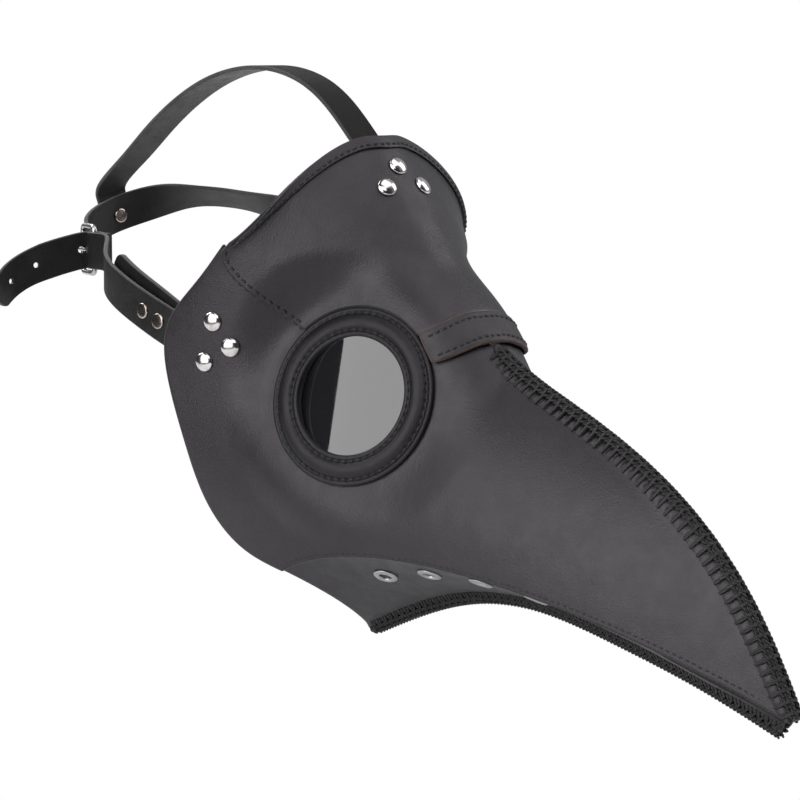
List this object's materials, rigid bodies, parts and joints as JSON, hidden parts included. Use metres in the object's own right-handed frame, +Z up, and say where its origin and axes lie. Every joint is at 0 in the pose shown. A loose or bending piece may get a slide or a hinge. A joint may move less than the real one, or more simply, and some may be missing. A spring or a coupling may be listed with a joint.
{
  "type": "plague doctor mask",
  "caption": "Black leather bird-beak face mask with round tinted eyes, overlock seams, rivets and a buckled three-strap head harness.",
  "frame": {"origin": "on the middle plane inside the face opening, level with the lower edge of the brow, where the bridge of the wearer's nose is", "axes": "+Z up for the wearer, -Y the way the beak points (+Y towards the back of the head), +X the wearer's left"},
  "size_m": [0.161, 0.4362, 0.2537],
  "materials": {
    "shell_leather": "satin, fine grain",
    "brow_leather": "satin, fine grain",
    "trim_leather": "satin",
    "seam_thread": "matt twisted thread",
    "ring_leather": "satin, padded",
    "lining": "suede back of the leather",
    "tinted_lens": "polished",
    "eyelet_metal": "satin",
    "dome_chrome": "polished",
    "cap_nickel": "polished",
    "strap_leather": "satin, cut edges",
    "buckle_steel": "polished"
  },
  "bodies": {
    "mask": {"side_panel_right": "shell_leather", "side_panel_left": "shell_leather", "forehead_panel": "brow_leather", "bridge_hem": "trim_leather", "forehead_binding": "trim_leather", "under_panel_right": "shell_leather", "under_panel_left": "shell_leather", "ridge_seam": "seam_thread", "keel_seam": "seam_thread", "eye_ring_right": "ring_leather", "eye_ring_left": "ring_leather", "eye_backing_right": "lining", "eye_backing_left": "lining", "lens_right": "tinted_lens", "lens_left": "tinted_lens", "eyelets_right": "eyelet_metal", "eyelets_left": "eyelet_metal", "temple_rivets_right": "dome_chrome", "temple_rivets_left": "dome_chrome", "forehead_rivets": "dome_chrome", "strap_rivets_right": "cap_nickel", "strap_rivets_left": "cap_nickel", "top_strap_rivet": "cap_nickel", "anchor_tab_right": "strap_leather", "anchor_tab_left": "strap_leather", "strap_right": "strap_leather", "strap_left": "strap_leather", "strap_top": "strap_leather"},
    "tail": {"strap_tail": "strap_leather"},
    "tip": {"strap_tip": "strap_leather"},
    "buckle": {"buckle_frame": "buckle_steel"},
    "prong": {"buckle_prong": "buckle_steel"}
  },
  "joints": [
    {"name": "tail_flex", "type": "hinge", "parent": "mask", "child": "tail", "pos_m": [-0.0448, 0.15824, 0.03565], "axis": [-0.2096, 0.0562, 0.9762], "range_deg": [-30, 30], "stiffness_Nm_per_rad": 0.02},
    {"name": "tip_flex", "type": "hinge", "parent": "tail", "child": "tip", "pos_m": [-0.06681, 0.16497, 0.0283], "axis": [-0.3813, 0.0846, 0.9206], "range_deg": [-30, 30], "stiffness_Nm_per_rad": 0.02},
    {"name": "buckle_swing", "type": "hinge", "parent": "mask", "child": "buckle", "pos_m": [-0.038, 0.15, 0.037], "axis": [0, 0, 1], "range_deg": [-8, 10]},
    {"name": "prong_rock", "type": "hinge", "parent": "buckle", "child": "prong", "pos_m": [-0.038, 0.15, 0.037], "axis": [0, 0, 1], "range_deg": [0, 8]}
  ]
}
